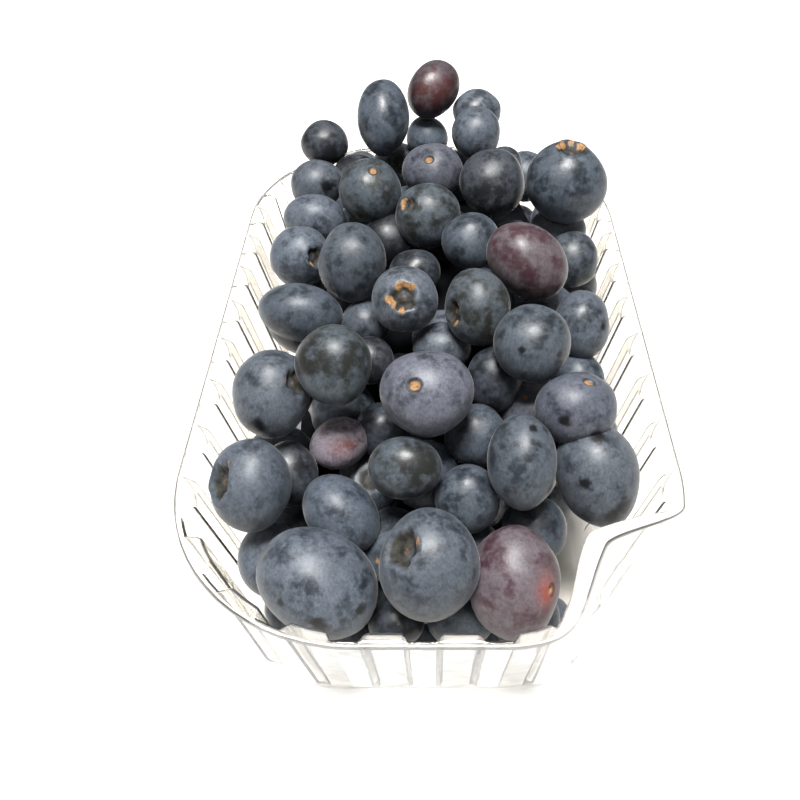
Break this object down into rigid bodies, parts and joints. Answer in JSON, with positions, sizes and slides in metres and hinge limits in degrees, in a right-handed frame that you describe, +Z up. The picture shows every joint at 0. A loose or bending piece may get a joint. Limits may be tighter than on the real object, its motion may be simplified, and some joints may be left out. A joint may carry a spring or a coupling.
{
  "type": "punnet of blueberries",
  "caption": "Clear fluted plastic punnet with a dented corner, heaped above its rim with loose blueberries.",
  "frame": {"origin": "centre of the base, at table level", "axes": "+Z up, +Y along the punnet away from its dented end, +X across it"},
  "size_m": [0.095, 0.15, 0.0841],
  "materials": {
    "punnet": "clear thermoformed PET sheet, glossy",
    "blueberries": "dark blue skin under a pale waxy bloom, satin"
  },
  "bodies": {
    "root": {"punnet": "punnet", "blueberries": "blueberries"}
  },
  "joints": []
}
